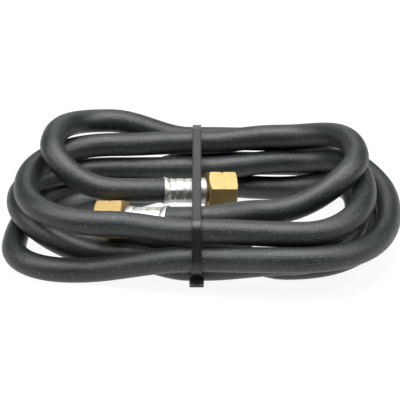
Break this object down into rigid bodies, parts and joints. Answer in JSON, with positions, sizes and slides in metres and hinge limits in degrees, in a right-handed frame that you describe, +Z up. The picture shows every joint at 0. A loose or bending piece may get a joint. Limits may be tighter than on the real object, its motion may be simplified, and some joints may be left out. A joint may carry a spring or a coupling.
{
  "type": "tig torch gas hose",
  "caption": "Coiled gas hose for an arc welding torch, held by a cable tie, with a crimped ferrule and a swivelling brass union nut at each end",
  "frame": {"origin": "centre of the bottom of the bounding box, on the table the coil lies on", "axes": "X along the coil, Z up, -Y towards the side where the cable tie's head is"},
  "size_m": [0.2108, 0.1446, 0.054],
  "materials": {
    "hose_rubber": "matte",
    "ferrule_steel": "bright zinc plate",
    "stem_steel": "bright zinc plate",
    "nut_brass": "machined",
    "tie_nylon": "satin"
  },
  "bodies": {
    "hose_set": {"hose": "hose_rubber", "ferrule_a": "ferrule_steel", "stem_a": "stem_steel", "ferrule_b": "ferrule_steel", "stem_b": "stem_steel", "cable_tie": "tie_nylon"},
    "union_nut_a": {"nut_a": "nut_brass"},
    "union_nut_b": {"nut_b": "nut_brass"}
  },
  "joints": [
    {"name": "nut_a_swivel", "type": "hinge", "parent": "hose_set", "child": "union_nut_a", "pos_m": [0.00966, 0.0029, 0.02778], "axis": [0.9811, 0.173, -0.0872], "continuous": true},
    {"name": "nut_b_swivel", "type": "hinge", "parent": "hose_set", "child": "union_nut_b", "pos_m": [-0.04662, -0.02309, 0.02392], "axis": [-0.9445, 0.2888, -0.1564], "continuous": true}
  ]
}
